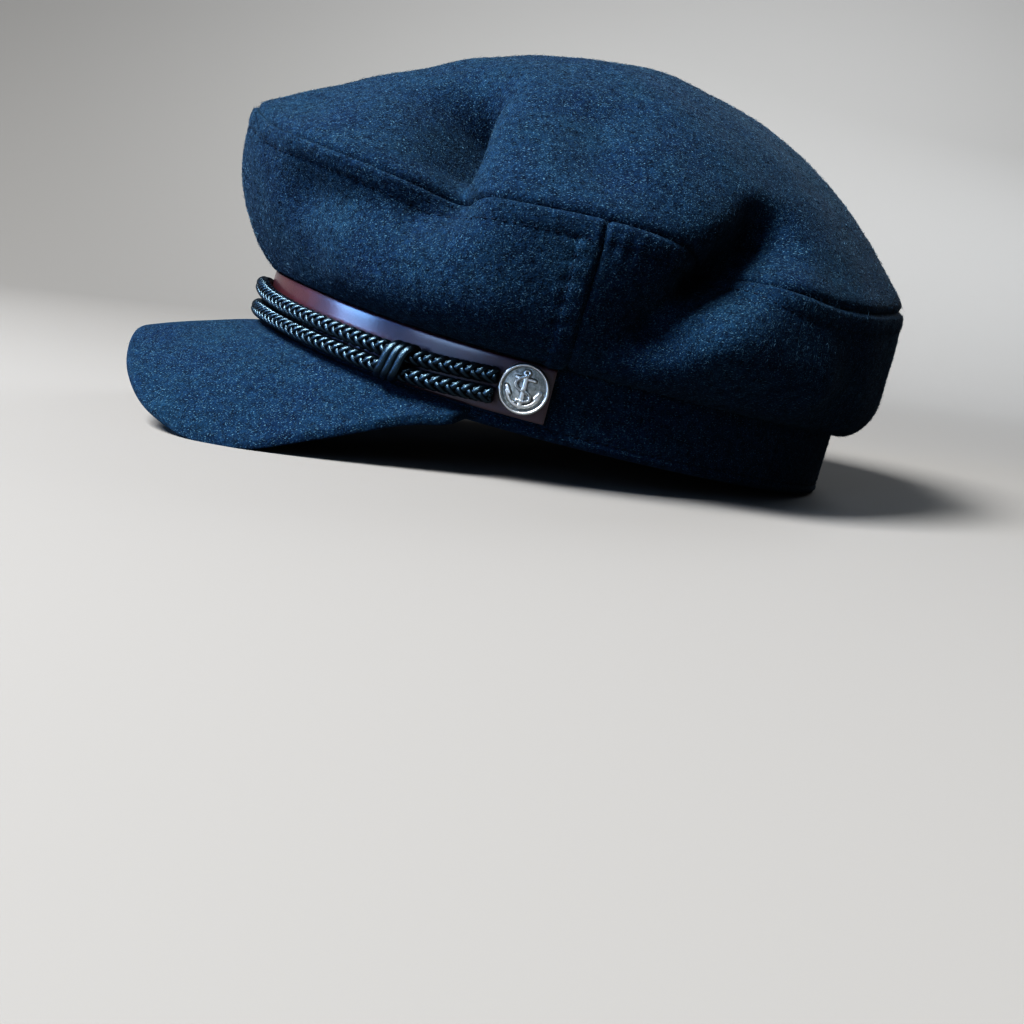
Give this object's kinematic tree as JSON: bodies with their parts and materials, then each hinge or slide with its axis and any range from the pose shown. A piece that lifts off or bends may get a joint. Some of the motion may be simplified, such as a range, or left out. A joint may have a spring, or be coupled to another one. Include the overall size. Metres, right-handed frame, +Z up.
{
  "type": "marine cap",
  "caption": "Soft wool sailor's cap with a full, dented crown on a head band, a curved wool peak, and a leather strap with doubled braided cord, knots and anchor buttons.",
  "frame": {"origin": "on the table under the middle of the cap's box, with the cap standing on the corners of its peak and the back of its rim", "axes": "+Z up, +Y towards the back of the head, the peak towards -Y, the wearer's left towards +X"},
  "size_m": [0.2078, 0.2634, 0.1353],
  "materials": {
    "wool": "fulled wool cloth, matt, with short pale fibres",
    "leather": "smooth polished leather",
    "cord": "glossy braided cord",
    "silver": "cast, darkened in the low places"
  },
  "bodies": {
    "root": {"crown_top": "wool", "crown_front": "wool", "crown_back": "wool", "head_band": "wool", "peak": "wool", "leather_strap": "leather", "cord_upper": "cord", "cord_lower": "cord", "knot_left": "cord", "knot_right": "cord", "button_left": "silver", "button_right": "silver"}
  },
  "joints": []
}
